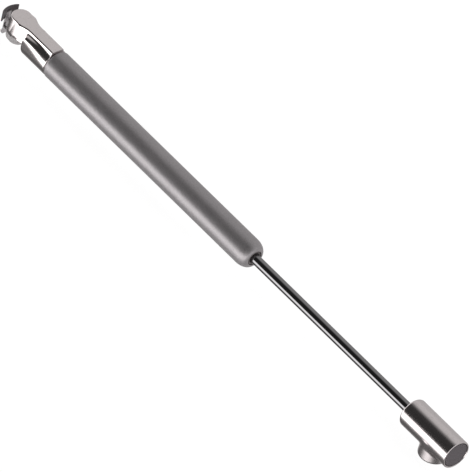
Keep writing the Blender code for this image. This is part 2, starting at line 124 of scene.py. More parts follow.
class StrutColours(bpy.types.PropertyGroup):
    tube: colour("Tube", "Satin grey finish of the cylinder tube", (0.47, 0.452, 0.46))
    zinc: colour("Cast fittings", "Polished zinc of both end fittings", (0.82, 0.775, 0.77))
    rod: colour("Piston rod", "Black nitrided finish of the rod", (0.30, 0.30, 0.305))
    clip: colour("Retaining clip", "Spring steel of the clip", (0.16, 0.15, 0.155))
    seat: colour("Ball seats", "Pale plastic of the ball seats", (0.52, 0.50, 0.50))
    cap: colour("End cap", "Grey of the lower end cap", (0.135, 0.120, 0.130))
    plated: colour("Plated steel", "Bright plated steel of the inner pieces", (0.62, 0.62, 0.64))
    bronze: colour("Bush", "Bronze of the guide bush", (0.60, 0.39, 0.18))
    sintered: colour("Piston", "Sintered steel of the piston", (0.30, 0.29, 0.28))
    rubber: colour("Seals", "Dark rubber of the seals", (0.17, 0.152, 0.15))
    guide: colour("Guide", "Dark plastic of the guide and the piston ring", (0.035, 0.036, 0.04))
    floor: colour("Floor", "Matt part of the glowing pale floor", (0.22, 0.22, 0.22))


# --- Shader sums ---


class Wire:
    """A node's output; an operator on it adds the Math node that does the sum."""

    def __init__(self, look, socket):
        self.look = look
        self.socket = socket

    def sum(self, operation, first, second):
        return self.look.node("ShaderNodeMath", {"operation": operation}, {0: first, 1: second})

    def __add__(self, other):
        return self.sum("ADD", self, other)

    def __sub__(self, other):
        return self.sum("SUBTRACT", self, other)

    def __mul__(self, other):
        return self.sum("MULTIPLY", self, other)

    def __truediv__(self, other):
        return self.sum("DIVIDE", self, other)

    def __pow__(self, other):
        return self.sum("POWER", self, other)


class Look:
    """A node tree under one output: a material's, or the studio world's."""

    def __init__(self, owner):
        self.owner = owner
        owner.use_nodes = True
        self.tree = owner.node_tree
        self.tree.nodes.clear()

    def node(self, kind, settings=None, inputs=None, output=0):
        """Adds a node: its settings first, then its sockets' values or links."""
        made = self.tree.nodes.new(kind)
        for name, value in (settings or {}).items():
            if name == "stops":
                self.set_stops(made.color_ramp, value)
            else:
                setattr(made, name, value)
        for key, value in (inputs or {}).items():
            if isinstance(value, Wire):
                self.tree.links.new(value.socket, made.inputs[key])
            else:
                made.inputs[key].default_value = value
        return Wire(self, made.outputs[output]) if made.outputs else made

    def set_stops(self, ramp, stops):
        for place, tint in stops[2:]:
            ramp.elements.new(place)
        for element, (place, tint) in zip(ramp.elements, sorted(stops)):
            element.position = place
            element.color = tint if len(tint) == 4 else (*tint, 1)

    def place(self):
        return self.node("ShaderNodeTexCoord", output="Object")

    def part(self, vector, axis):
        return self.node("ShaderNodeSeparateXYZ", inputs={0: vector}, output=axis)

    def noise(self, vector, scale, detail=2.0, rough=0.5):
        inputs = {"Vector": vector, "Scale": scale, "Detail": detail, "Roughness": rough}
        return self.node("ShaderNodeTexNoise", {"noise_dimensions": "3D"}, inputs)

    def stretched(self, vector, scales):
        return self.node("ShaderNodeMapping", inputs={"Vector": vector, "Scale": scales})

    def spread(self, value, low, high, to_low, to_high):
        """Moves a value from one range to another, and clamps it."""
        inputs = {0: value, 1: low, 2: high, 3: to_low, 4: to_high}
        return self.node("ShaderNodeMapRange", inputs=inputs)

    def mix(self, factor, first, second):
        first = (*first, 1) if isinstance(first, tuple) else first
        second = (*second, 1) if isinstance(second, tuple) else second
        inputs = {0: factor, 6: first, 7: second}
        return self.node("ShaderNodeMix", {"data_type": "RGBA"}, inputs, output=2)

    def bump(self, height, depth, strength=1.0):
        inputs = {"Height": height, "Distance": depth, "Strength": strength}
        return self.node("ShaderNodeBump", inputs=inputs)

    def finish(self, **sockets):
        """The surface's shader; a name's underscores stand for spaces."""
        inputs = {name.replace("_", " "): value for name, value in sockets.items()}
        shader = self.node("ShaderNodeBsdfPrincipled", inputs=inputs)
        self.node("ShaderNodeOutputMaterial", inputs={"Surface": shader})
        return self.owner


def shade_of(tint, factor):
    return tuple(min(1.0, part * factor) for part in tint)


def new_look(name):
    return Look(bpy.data.materials.new(name))


def lathe_marks(look, place, scale):
    """Fine rings that a turning tool leaves: they vary along the strut and outwards only."""
    y = look.part(place, "Y")
    z = look.part(place, "Z") - AXIS_Z
    outwards = (y * y + z * z) ** 0.5
    rings = look.node("ShaderNodeCombineXYZ", inputs={0: look.part(place, "X"), 1: outwards})
    return look.noise(rings, scale, 3.0, 0.6)


def tube_finish(look, place, tint):
    """Satin metallic coat with a fine pebbled skin and faint darker mottling."""
    pebble = look.noise(place, 1250, 2.0, 0.55)
    flake = look.noise(place, 3400, 1.0, 0.5)
    cloud = look.noise(place, 90, 3.0, 0.5)
    mottle = look.spread(pebble * 0.6 + flake * 0.25 + cloud * 0.15, 0.35, 0.65, 0, 1)
    colour_mix = look.mix(mottle, shade_of(tint, 0.86), shade_of(tint, 1.16))
    rough = look.spread(pebble, 0.3, 0.7, 0.39, 0.48)
    return look.finish(
        Base_Color=colour_mix,
        Metallic=0.6,
        Roughness=rough,
        Normal=look.bump(pebble * 0.7 + flake * 0.3, 0.00006, 0.55),
    )


def zinc_finish(look, place, tint):
    """Polished die-cast zinc: soft casting waves, fine polishing lines and small dull spots."""
    lines = look.noise(look.stretched(place, (260, 4200, 4200)), 1.0, 2.0, 0.6)
    waves = look.noise(place, 210, 1.0, 0.4)
    dull = look.spread(look.noise(place, 620, 3.0, 0.6), 0.56, 0.72, 0, 1)
    rough = look.spread(lines, 0.3, 0.75, 0.15, 0.23) + dull * 0.05
    tone = look.mix(dull, tint, shade_of(tint, 0.9))
    return look.finish(
        Base_Color=tone,
        Metallic=1.0,
        Roughness=rough,
        Normal=look.bump(lines * 0.15 + waves * 0.85, 0.00003, 0.4),
    )


def rod_finish(look, place, tint):
    """Ground and nitrided rod: glossy black with very fine grinding rings."""
    rings = lathe_marks(look, place, 5200)
    haze = look.noise(place, 140, 2.0, 0.5)
    rough = look.spread(rings * 0.6 + haze * 0.4, 0.3, 0.7, 0.015, 0.045)
    tone = look.mix(haze, shade_of(tint, 0.92), shade_of(tint, 1.08))
    return look.finish(
        Base_Color=tone, Metallic=1.0, Roughness=rough, Normal=look.bump(rings, 0.000002, 0.3)
    )


def clip_finish(look, place, tint):
    """Tempered spring steel, with a painted highlight: a light strip down the middle of the web."""
    across = look.part(place, "Y")
    up = look.part(place, "Z") - AXIS_Z
    middle = look.spread(across * across, (1.7 * MM) ** 2, (2.0 * MM) ** 2, 1, 0)
    below = look.spread(up, 4.5 * MM, 5.2 * MM, 1, 0)
    grain = look.noise(look.stretched(place, (900, 900, 5200)), 1.0, 2.0, 0.6)
    # Painted highlight: a pale strip in the middle of the web, below the band, stands in for a
    # reflection of the light.
    painted_web_highlight = middle * below * look.spread(grain, 0.2, 0.6, 0.75, 1)
    tone = look.mix(painted_web_highlight, tint, (0.72, 0.70, 0.71))
    rough = look.spread(grain, 0.3, 0.7, 0.30, 0.42)
    return look.finish(
        Base_Color=tone, Metallic=0.85, Roughness=rough, Normal=look.bump(grain, 0.00001, 0.5)
    )


def moulded_finish(look, place, tint, rough_low, rough_high):
    """Moulded plastic: a light spark-eroded grain and small changes of tone."""
    grain = look.noise(place, 2400, 3.0, 0.6)
    tone_noise = look.noise(place, 160, 2.0, 0.5)
    tone = look.mix(tone_noise, shade_of(tint, 0.9), shade_of(tint, 1.1))
    rough = look.spread(grain, 0.3, 0.7, rough_low, rough_high)
    return look.finish(
        Base_Color=tone,
        Roughness=rough,
        Normal=look.bump(grain, 0.00003, 0.4),
        Specular_IOR_Level=0.5,
    )


def turned_metal_finish(look, place, tint, rough_low, rough_high, scale):
    """Turned metal: tool rings in its gloss and its height, with slight tarnish."""
    rings = lathe_marks(look, place, scale)
    tarnish = look.noise(place, 420, 3.0, 0.6)
    tone = look.mix(tarnish, shade_of(tint, 0.84), shade_of(tint, 1.1))
    rough = look.spread(rings * 0.7 + tarnish * 0.3, 0.3, 0.7, rough_low, rough_high)
    return look.finish(
        Base_Color=tone, Metallic=1.0, Roughness=rough, Normal=look.bump(rings, 0.00001, 0.5)
    )


def sintered_finish(look, place, tint):
    """Pressed and sintered steel: matt, with open pores."""
    pores = look.node("ShaderNodeTexVoronoi", inputs={"Vector": place, "Scale": 2600})
    hollow = look.spread(pores, 0.05, 0.35, 0, 1)
    grain = look.noise(place, 1500, 3.0, 0.6)
    tone = look.mix(hollow, shade_of(tint, 0.45), shade_of(tint, 1.05))
    return look.finish(
        Base_Color=tone,
        Metallic=0.9,
        Roughness=look.spread(grain, 0.3, 0.7, 0.45, 0.62),
        Normal=look.bump(hollow * 0.6 + grain * 0.4, 0.00003, 0.6),
    )


def rubber_finish(look, place, tint):
    """Dark nitrile rubber: matt, with a dusty bloom."""
    bloom = look.spread(look.noise(place, 520, 4.0, 0.65), 0.5, 0.75, 0, 1)
    grain = look.noise(place, 3600, 2.0, 0.6)
    return look.finish(
        Base_Color=look.mix(bloom, tint, shade_of(tint, 2.4)),
        Roughness=look.spread(grain, 0.3, 0.7, 0.55, 0.8),
        Normal=look.bump(grain, 0.00002, 0.4),
    )


def cap_finish(look, place, tint):
    """Grey end cap: faint facing rings and a few pits."""
    rings = lathe_marks(look, place, 2600)
    pits = look.spread(look.noise(place, 1300, 2.0, 0.5), 0.66, 0.74, 0, 1)
    tone = look.mix(look.spread(rings, 0.3, 0.7, 0, 1), shade_of(tint, 0.88), shade_of(tint, 1.1))
    speck = look.mix(pits, tone, shade_of(tint, 0.5))
    return look.finish(
        Base_Color=speck,
        Metallic=0.3,
        Roughness=look.spread(rings, 0.3, 0.7, 0.38, 0.5),
        Normal=look.bump(rings * 0.5 - pits * 0.5, 0.00002, 0.4),
    )


# For each slot of the record: the material's name, its colour, its maker and the maker's numbers.
LOOKS = {
    "tube_steel": ("satin_tube_coat", "tube", tube_finish),
    "polished_zinc": ("polished_zinc", "zinc", zinc_finish),
    "nitrided_rod": ("nitrided_rod", "rod", rod_finish),
    "spring_steel": ("spring_steel_clip", "clip", clip_finish),
    "sintered_steel": ("sintered_steel", "sintered", sintered_finish),
    "seal_rubber": ("seal_rubber", "rubber", rubber_finish),
    "cap_grey": ("grey_end_cap", "cap", cap_finish),
    "seat_plastic": ("seat_plastic", "seat", moulded_finish, 0.32, 0.46),
    "guide_plastic": ("guide_plastic", "guide", moulded_finish, 0.38, 0.52),
    "plated_steel": ("plated_steel", "plated", turned_metal_finish, 0.18, 0.32, 3800),
    "bush_bronze": ("bush_bronze", "bronze", turned_metal_finish, 0.26, 0.42, 3000),
}
made_looks = {}


def look_for(slot):
    """The material of a record's slot, made at its first use."""
    if slot not in made_looks:
        name, tint_name, make, *numbers = LOOKS[slot]
        look = new_look(name)
        tint = tuple(getattr(bpy.context.scene.strut_colours, tint_name))
        made_looks[slot] = make(look, look.place(), tint, *numbers)
    return made_looks[slot]


# --- Shapes ---


def rounded(profile, corner, steps=5):
    """A profile's corners rounded, with a close point on each side that keeps flats flat."""
    count = len(profile)
    is_open = profile[0][1] == 0
    points = []
    for index, item in enumerate(profile):
        here = np.array(item[:2], float)
        if is_open and index in (0, count - 1):
            points.append(here)
            continue
        back = np.array(profile[index - 1][:2]) - here
        ahead = np.array(profile[(index + 1) % count][:2]) - here
        back_length, ahead_length = np.linalg.norm(back), np.linalg.norm(ahead)
        back, ahead = back / back_length, ahead / ahead_length
        half = math.acos(np.clip(back @ ahead, -1, 1)) / 2
        radius = item[2] if len(item) > 2 else corner
        if radius <= 0 or half > math.radians(87):
            points.append(here)
            continue
        cut = min(radius / math.tan(half), 0.42 * back_length, 0.42 * ahead_length)
        radius = cut * math.tan(half)
        middle = back + ahead
        centre = here + middle / np.linalg.norm(middle) * radius / math.sin(half)
        start, end = here + back * cut - centre, here + ahead * cut - centre
        first = math.atan2(start[1], start[0])
        turn = math.atan2(end[1], end[0]) - first
        turn = (turn + math.pi) % (2 * math.pi) - math.pi
        points.append(here + back * min(cut * 1.5 + 0.1 * MM, 0.48 * back_length))
        for step in range(steps + 1):
            angle = first + turn * step / steps
            points.append(centre + radius * np.array([math.cos(angle), math.sin(angle)]))
        points.append(here + ahead * min(cut * 1.5 + 0.1 * MM, 0.48 * ahead_length))
    return points


def mesh_object(name, points, faces):
    mesh = bpy.data.meshes.new(name)
    mesh.from_pydata([tuple(map(float, point)) for point in points], [], faces)
    obj = bpy.data.objects.new(name, mesh)
    bpy.context.scene.collection.objects.link(obj)
    tidy(obj)
    return obj


def tidy(obj, weld=2e-7):
    """Merges doubles, points the faces outwards and shades smooth."""
    shape = bmesh.new()
    shape.from_mesh(obj.data)
    bmesh.ops.remove_doubles(shape, verts=shape.verts, dist=weld)
    bmesh.ops.recalc_face_normals(shape, faces=shape.faces)
    if shape.calc_volume(signed=True) < 0:
        bmesh.ops.reverse_faces(shape, faces=shape.faces)
    shape.to_mesh(obj.data)
    shape.free()
    obj.data.shade_smooth()


def turned(name, profile, centre=STRUT_AXIS, axis="X", corner=None, turns=None):
    """A profile of (place along the axis, radius, own rounding) turned round an axis."""
    sizes = bpy.context.scene.strut_sizes
    outline = rounded(profile, sizes.edge if corner is None else corner)
    turns = turns or sizes.turns
    points, rows, faces = [], [], []
    for along, radius in outline:
        many = 1 if radius < 1e-9 else turns
        rows.append(range(len(points), len(points) + many))
        for step in range(many):
            angle = 2 * math.pi * step / turns
            across, up = radius * math.cos(angle), radius * math.sin(angle)
            spot = {"X": (along, across, up), "Y": (across, along, up), "Z": (across, up, along)}
            points.append(Vector(spot[axis]) + Vector(centre))
    pairs = list(zip(rows, rows[1:]))
    if profile[0][1] > 0:
        pairs.append((rows[-1], rows[0]))
    for first, second in pairs:
        for step in range(turns):
            after = (step + 1) % turns
            corners = [first[step % len(first)], first[after % len(first)]]
            corners += [second[after % len(second)], second[step % len(second)]]
            corners = list(dict.fromkeys(corners))
            if len(corners) > 2:
                faces.append(corners)
    return mesh_object(name, points, faces)


def ring(start, end, outer, inner):
    return [(start, inner), (start, outer), (end, outer), (end, inner)]


def bar(start, end, radius):
    return [(start, 0), (start, radius), (end, radius), (end, 0)]


def boolean(obj, other, operation):
    """Cuts or joins with another object, which is then thrown away."""
    step = obj.modifiers.new(operation.lower(), "BOOLEAN")
    step.operation = operation
    step.solver = "MANIFOLD"
    step.object = other
    bake(obj)
    bpy.data.objects.remove(other, do_unlink=True)
    if not obj.data.polygons:
        raise RuntimeError(obj.name + ": nothing is left after " + operation)


def cut(obj, cutter):
    boolean(obj, cutter, "DIFFERENCE")


def join(obj, other):
    boolean(obj, other, "UNION")


def bake(obj):
    """Puts the evaluated shape in the object's own mesh and drops its modifiers."""
    bpy.context.view_layer.update()
    graph = bpy.context.evaluated_depsgraph_get()
    baked = bpy.data.meshes.new_from_object(obj.evaluated_get(graph))
    old = obj.data
    obj.modifiers.clear()
    obj.data = baked
    bpy.data.meshes.remove(old)
    return obj


def crisp(obj, degrees=32):
    obj.data.shade_smooth()
    obj.data.set_sharp_from_angle(angle=math.radians(degrees))


def rounded_end(places, start, end, radius, start_round, end_round):
    """Signed distance to a round bar along the first column, its ends rounded."""
    along, across, up = places.T
    outwards = np.hypot(across, up)
    rounding = np.where(along < (start + end) / 2, start_round, end_round)
    side = outwards - radius + rounding
    cap = np.maximum(start - along, along - end) + rounding
    outside = np.hypot(np.maximum(side, 0), np.maximum(cap, 0))
    return np.minimum(np.maximum(side, cap), 0) + outside - rounding


def rounded_corner(first, second, rounding):
    """Signed distance inside both of two, with their common edge rounded."""
    one, two = first + rounding, second + rounding
    outside = np.hypot(np.maximum(one, 0), np.maximum(two, 0))
    return np.minimum(np.maximum(one, two), 0) + outside - rounding


def blended(first, second, reach):
    """Signed distance to two shapes, run together over a reach."""
    share = np.clip(0.5 + 0.5 * (second - first) / reach, 0, 1)
    return second * (1 - share) + first * share - reach * share * (1 - share)


def settle(obj, field, centre, steps=8):
    """Moves each vertex along the field's slope onto its zero surface."""
    count = len(obj.data.vertices)
    flat = np.empty(count * 3)
    obj.data.vertices.foreach_get("co", flat)
    places = (flat.reshape(-1, 3) - np.array(centre)) / MM
    nudge = 0.01
    for _ in range(steps):
        value = field(places)
        slope = np.empty_like(places)
        for axis in range(3):
            shift = np.zeros(3)
            shift[axis] = nudge
            slope[:, axis] = (field(places + shift) - field(places - shift)) / (2 * nudge)
        steep = np.maximum((slope**2).sum(axis=1), 0.2)
        places -= (np.clip(value, -0.5, 0.5) / steep)[:, None] * slope
    flat = (places * MM + np.array(centre)).ravel()
    obj.data.vertices.foreach_set("co", flat)
    obj.data.update()


def cast_skin(name, rough_shapes, field, centre):
    """A cast piece's skin: rough closed shapes run together, then settled on the field."""
    rough = rough_shapes[0]
    rough.name = name
    for other in rough_shapes[1:]:
        join(rough, other)
    remesh = rough.modifiers.new("skin", "REMESH")
    remesh.mode = "VOXEL"
    remesh.voxel_size = bpy.context.scene.strut_sizes.skin
    bake(rough)
    settle(rough, field, centre)
    rough.data.shade_smooth()
    return rough


def swept(name, path, sides, up, half_width, half_height, rounding):
    """A flat strip along a path, its section a rounded rectangle, with closed ends."""
    section = []
    for corner, (sign_a, sign_b) in enumerate(((1, 1), (-1, 1), (-1, -1), (1, -1))):
        for step in range(5):
            angle = math.radians(90 * corner + 22.5 * step)
            across = sign_a * (half_width - rounding) + rounding * math.cos(angle)
            section.append((across, sign_b * (half_height - rounding) + rounding * math.sin(angle)))
    many = len(section)
    points = [
        Vector(spot) + Vector(side) * across + Vector(up) * high
        for spot, side in zip(path, sides)
        for across, high in section
    ]
    faces = [tuple(range(many)), tuple(range(len(points) - many, len(points)))]
    for start in range(0, len(points) - many, many):
        for step in range(many):
            after = (step + 1) % many
            ahead = start + many
            faces.append((start + step, start + after, ahead + after, ahead + step))
    return mesh_object(name, points, faces)


def level_strip(name, places, z, half_width, half_height, rounding):
    """A strip that lies level at a height, through places (along, across)."""
    path = [(x, y, z) for x, y in places]
    return swept(name, path, [(0, 1, 0)] * len(path), (0, 0, 1), half_width, half_height, rounding)


def blind_hole(floor, radius, corner, lip, past):
    """A round hole's cutter as a profile: it flares at 45 degrees from its lip to past the face."""
    mouth = radius + abs(past - lip)
    return [(floor, 0), (floor, radius, corner), (lip, radius, 0), (past, mouth, 0), (past, 0)]


def cup_hollow(centre_z, radius):
    """The hollow of a ball's cup as a profile, from its middle to near its top."""
    turns = [math.radians(84 * step / 16) for step in range(17)]
    return [(centre_z + radius * math.sin(turn), radius * math.cos(turn), 0) for turn in turns]


def wire_section(along, radius, wire, count=20):
    """A round wire's section as a profile."""
    turns = [2 * math.pi * step / count for step in range(count)]
    return [(along + wire * math.cos(turn), radius + wire * math.sin(turn)) for turn in turns]


# --- Threads, made with Geometry Nodes ---


def thread_tree():
    """A helical ridge round a shank: its sizes are the group's named inputs."""
    tree = bpy.data.node_groups.new("thread_ridge", "GeometryNodeTree")
    face = tree.interface
    face.new_socket("Geometry", in_out="OUTPUT", socket_type="NodeSocketGeometry")
    face.new_socket("Geometry", in_out="INPUT", socket_type="NodeSocketGeometry")
    for name in ("Radius", "Depth", "Length", "Rounds", "Start", "Height"):
        face.new_socket(name, in_out="INPUT", socket_type="NodeSocketFloat")
    face.new_socket("Material", in_out="INPUT", socket_type="NodeSocketMaterial")
    nodes, links = tree.nodes, tree.links

    def node(kind, **inputs):
        made = nodes.new(kind)
        for name, value in inputs.items():
            socket = made.inputs[name.replace("_", " ")]
            if isinstance(value, bpy.types.NodeSocket):
                links.new(value, socket)
            else:
                socket.default_value = value
        return made

    given = nodes.new("NodeGroupInput").outputs
    spiral = node(
        "GeometryNodeCurveSpiral",
        Resolution=40,
        Rotations=given["Rounds"],
        Start_Radius=given["Radius"],
        End_Radius=given["Radius"],
        Height=given["Length"],
    )
    section = node("GeometryNodeCurvePrimitiveCircle", Resolution=4, Radius=given["Depth"])
    ridge = node("GeometryNodeCurveToMesh", Curve=spiral.outputs[0], Fill_Caps=True)
    links.new(section.outputs[0], ridge.inputs["Profile Curve"])
    spot = node("ShaderNodeCombineXYZ", X=given["Start"], Z=given["Height"])
    laid = node(
        "GeometryNodeTransform",
        Geometry=ridge.outputs[0],
        Translation=spot.outputs[0],
        Rotation=(0, math.pi / 2, 0),
    )
    joined = nodes.new("GeometryNodeJoinGeometry")
    links.new(laid.outputs[0], joined.inputs[0])
    links.new(given["Geometry"], joined.inputs[0])
    real = node("GeometryNodeRealizeInstances", Geometry=joined.outputs[0])
    done = node("GeometryNodeSetMaterial", Geometry=real.outputs[0], Material=given["Material"])
    links.new(done.outputs[0], nodes.new("NodeGroupOutput").inputs[0])
    return tree


def cut_thread(obj, radius, start, end, slot):
    """Adds a helical ridge round a shank between two places along the strut."""
    sizes = bpy.context.scene.strut_sizes
    tree = bpy.data.node_groups.get("thread_ridge") or thread_tree()
    step = obj.modifiers.new("thread", "NODES")
    step.node_group = tree
    values = {
        "Radius": radius - sizes.thread_depth,
        "Depth": sizes.thread_depth,
        "Length": end - start,
        "Rounds": (end - start) / sizes.thread_pitch,
        "Start": start,
        "Height": AXIS_Z,
        "Material": look_for(slot),
    }
    for item in tree.interface.items_tree:
        if item.in_out == "INPUT" and item.name in values:
            step[item.identifier] = values[item.name]
    bake(obj)


# --- Handing a finished piece to the frame ---


def hand_over(obj, node):
    """Gives a piece its finish and its body; it stands for one CAD node."""
    slot = SLOT_OF[node]
    obj.data.materials.clear()
    obj.data.materials.append(look_for(slot))
    obj.data.polygons.foreach_set("material_index", [0] * len(obj.data.polygons))
    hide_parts(node)
    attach(obj, BODY_OF[node])


def hand_over_ring(name, node, hole, corner):
    """A plain ring as long and as wide as its node, with rounded edges."""
    part = SPANS[node]
    profile = ring(part.start, part.end, part.radius, hole)
    hand_over(turned(name, profile, corner=corner), node)


# The record's slot for each node.
NODES_OF_SLOT = {
    "tube_steel": "cylinder_tube",
    "plated_steel": "end_plug seal_washer stop_ring "
    "piston_front_washer piston_rear_washer lower_snap_ring",
    "seal_rubber": "end_plug_seal rod_wiper rod_seal",
    "guide_plastic": "rod_guide piston_ring",
    "bush_bronze": "guide_bush",
    "nitrided_rod": "piston_rod",
    "sintered_steel": "piston",
    "spring_steel": "valve_disc retaining_clip",
    "polished_zinc": "upper_end_fitting lower_end_fitting",
    "seat_plastic": "upper_ball_seat lower_ball_seat",
    "cap_grey": "lower_end_cap",
}
SLOT_OF = {node: slot for slot, nodes in NODES_OF_SLOT.items() for node in nodes.split()}


# --- Operators: one for each piece or group of like pieces ---


class StrutPiece:
    """What every operator here shares."""

    bl_options = {"REGISTER", "UNDO"}

    def execute(self, context):
        self.make(context.scene.strut_sizes)
        return {"FINISHED"}


class STRUT_OT_tube(StrutPiece, bpy.types.Operator):
    """The cylinder tube: closed at its fitting end, rolled in over the rod guide"""

    bl_idname = "strut.tube"
    bl_label = "Cylinder Tube"

    def make(self, sizes):
        tube = SPANS["cylinder_tube"]
        wall = sizes.tube_wall
        bore = tube.radius - wall
        bend = tube.end - sizes.shoulder
        drop = tube.radius - sizes.mouth
        hole = sizes.stud_radius + GAP
        profile = [(tube.start, hole, 0.2 * MM), (tube.start, tube.radius, 1.4 * MM)]
        for step in range(15):
            turn = math.radians(90 * step / 14)
            along = bend + sizes.shoulder * math.sin(turn) ** 1.05
            profile.append((along, sizes.mouth + drop * math.cos(turn) ** 0.9, 0))
        profile[-1] = (tube.end, sizes.mouth + 0.5 * MM, 0.4 * MM)
        profile.append((tube.end, sizes.mouth, 0.25 * MM))
        for step in range(13):
            turn = math.radians(90 - 90 * step / 12)
            along = bend + (sizes.shoulder - wall) * math.sin(turn)
            profile.append((along, sizes.mouth + (drop - wall) * math.cos(turn), 0))
        profile += [(tube.start + wall, bore, 0.5 * MM), (tube.start + wall, hole, 0.2 * MM)]
        hand_over(turned("tube_shell", profile), "cylinder_tube")


class STRUT_OT_end_plug(StrutPiece, bpy.types.Operator):
    """The end plug with its threaded stud, and the O-ring in its groove"""

    bl_idname = "strut.end_plug"
    bl_label = "End Plug"

    def make(self, sizes):
        plug, seal = SPANS["end_plug"], SPANS["end_plug_seal"]
        groove = seal.radius - 1.75 * MM
        face = SPANS["cylinder_tube"].start + sizes.tube_wall + GAP
        root = sizes.stud_radius - sizes.thread_depth
        profile = [
            (plug.start, 0),
            (plug.start, root, 0.5 * MM),
            (face - 0.8 * MM, root, 0.1 * MM),
            (face - 0.5 * MM, sizes.stud_radius),
            (face, sizes.stud_radius, 0.05 * MM),
            (face, plug.radius, 0.4 * MM),
            (seal.start - 0.2 * MM, plug.radius),
            (seal.start - 0.2 * MM, groove, 0.3 * MM),
            (seal.end + 0.2 * MM, groove, 0.3 * MM),
            (seal.end + 0.2 * MM, plug.radius),
            (plug.end, plug.radius, 0.5 * MM),
            (plug.end, 0),
        ]
        body = turned("plug_with_stud", profile)
        cut_thread(body, sizes.stud_radius, plug.start + 0.5 * MM, face - 1.2 * MM, "plated_steel")
        hand_over(body, "end_plug")
        wire = (seal.end - seal.start) / 2
        section = wire_section(seal.x, seal.radius - wire, wire)
        hand_over(turned("plug_o_ring", section, corner=0), "end_plug_seal")


class STRUT_OT_guide_pack(StrutPiece, bpy.types.Operator):
    """The rod guide, its bronze bush and the wiper that fills the tube's mouth"""

    bl_idname = "strut.guide_pack"
    bl_label = "Rod Guide, Bush and Wiper"

    def make(self, sizes):
        guide, bush, wiper = SPANS["rod_guide"], SPANS["guide_bush"], SPANS["rod_wiper"]
        body = [
            (guide.start, bush.radius + GAP, 0.3 * MM),
            (guide.start, guide.radius, 0.5 * MM),
            (guide.x - 0.9 * MM, guide.radius),
            (guide.x - 0.9 * MM, guide.radius - 0.7 * MM),
            (guide.x + 0.9 * MM, guide.radius - 0.7 * MM),
            (guide.x + 0.9 * MM, guide.radius),
            (guide.end, guide.radius, 0.9 * MM),
            (guide.end, bush.radius + GAP, 0.3 * MM),
        ]
        hand_over(turned("guide_sleeve", body), "rod_guide")
        hole = sizes.rod_radius + GAP
        hand_over_ring("bronze_bush", "guide_bush", hole, 0.25 * MM)
        face = SPANS["cylinder_tube"].end - 0.4 * MM
        lip = [
            (wiper.start, hole, 0.1 * MM),
            (wiper.start, wiper.radius, 0.3 * MM),
            (face, wiper.radius, 0.3 * MM),
            (face + 0.2 * MM, hole + 0.5 * MM, 0.15 * MM),
            (face, hole + 0.15 * MM, 0.1 * MM),
            (face - 1.2 * MM, hole, 0.2 * MM),
        ]
        hand_over(turned("wiper_lip", lip), "rod_wiper")


class STRUT_OT_seal_pack(StrutPiece, bpy.types.Operator):
    """The grooved rod seal, its washer and the stop ring behind it"""

    bl_idname = "strut.seal_pack"
    bl_label = "Rod Seal, Washer and Stop Ring"

    def make(self, sizes):
        seal = SPANS["rod_seal"]
        hole = sizes.rod_radius + GAP
        middle = (seal.radius + hole) / 2
        lips = [
            (seal.start, hole, 0.2 * MM),
            (seal.start, middle - 0.5 * MM, 0.3 * MM),
            (seal.x, middle, 0.4 * MM),
            (seal.start, middle + 0.5 * MM, 0.3 * MM),
            (seal.start, seal.radius, 0.3 * MM),
            (seal.end, seal.radius, 0.4 * MM),
            (seal.end, hole, 0.2 * MM),
        ]
        hand_over(turned("seal_lips", lips), "rod_seal")
        hand_over_ring("washer_disc", "seal_washer", hole, 0.2 * MM)
        hand_over_ring("stop_hoop", "stop_ring", hole + GAP, 0.35 * MM)


SPIGOT_RADIUS = 2.1 * MM


class STRUT_OT_piston_rod(StrutPiece, bpy.types.Operator):
    """The piston rod with its spigot, riveted end and threaded far end"""

    bl_idname = "strut.piston_rod"
    bl_label = "Piston Rod"

    def make(self, sizes):
        rod, stop = SPANS["piston_rod"], SPANS["stop_ring"]
        rear = SPANS["piston_rear_washer"]
        fitting = SPANS["lower_end_fitting"]
        rivet = rear.start - GAP
        root = sizes.rod_radius - sizes.thread_depth
        profile = [
            (rod.start, 0),
            (rod.start, SPIGOT_RADIUS, 0.5 * MM),
            (rivet - 0.7 * MM, sizes.rod_radius, 0.3 * MM),
            (rivet, sizes.rod_radius, 0.1 * MM),
            (rivet, SPIGOT_RADIUS, 0.05 * MM),
            (stop.start, SPIGOT_RADIUS, 0.1 * MM),
            (stop.start, sizes.rod_radius, 0.2 * MM),
            (fitting.start + 0.8 * MM, sizes.rod_radius, 0.2 * MM),
            (fitting.start + 1.1 * MM, root, 0.1 * MM),
            (rod.end, root, 0.5 * MM),
            (rod.end, 0),
        ]
        body = turned("nitrided_piston_rod", profile)
        start = fitting.start + 1.6 * MM
        cut_thread(body, sizes.rod_radius, start, rod.end - 0.4 * MM, "nitrided_rod")
        hand_over(body, "piston_rod")


class STRUT_OT_piston_stack(StrutPiece, bpy.types.Operator):
    """The piston with its ring, the valve disc and the washers on both sides"""

    bl_idname = "strut.piston_stack"
    bl_label = "Piston Stack"

    def make(self, sizes):
        piston, hoop = SPANS["piston"], SPANS["piston_ring"]
        hole = SPIGOT_RADIUS + GAP
        groove = piston.radius - 1.6 * MM
        profile = [
            (piston.start, hole, 0.2 * MM),
            (piston.start, piston.radius, 0.6 * MM),
            (hoop.start - GAP, piston.radius),
            (hoop.start - GAP, groove, 0.2 * MM),
            (hoop.end + GAP, groove, 0.2 * MM),
            (hoop.end + GAP, piston.radius),
            (piston.end, piston.radius, 0.6 * MM),
            (piston.end, hole, 0.2 * MM),
        ]
        hand_over(turned("sintered_piston", profile), "piston")
        hand_over_ring("piston_band", "piston_ring", groove + GAP, 0.3 * MM)
        hand_over_ring("front_washer_disc", "piston_front_washer", hole, 0.18 * MM)
        hand_over_ring("valve_leaf", "valve_disc", hole, 0.18 * MM)
        hand_over_ring("rear_washer_disc", "piston_rear_washer", hole, 0.18 * MM)


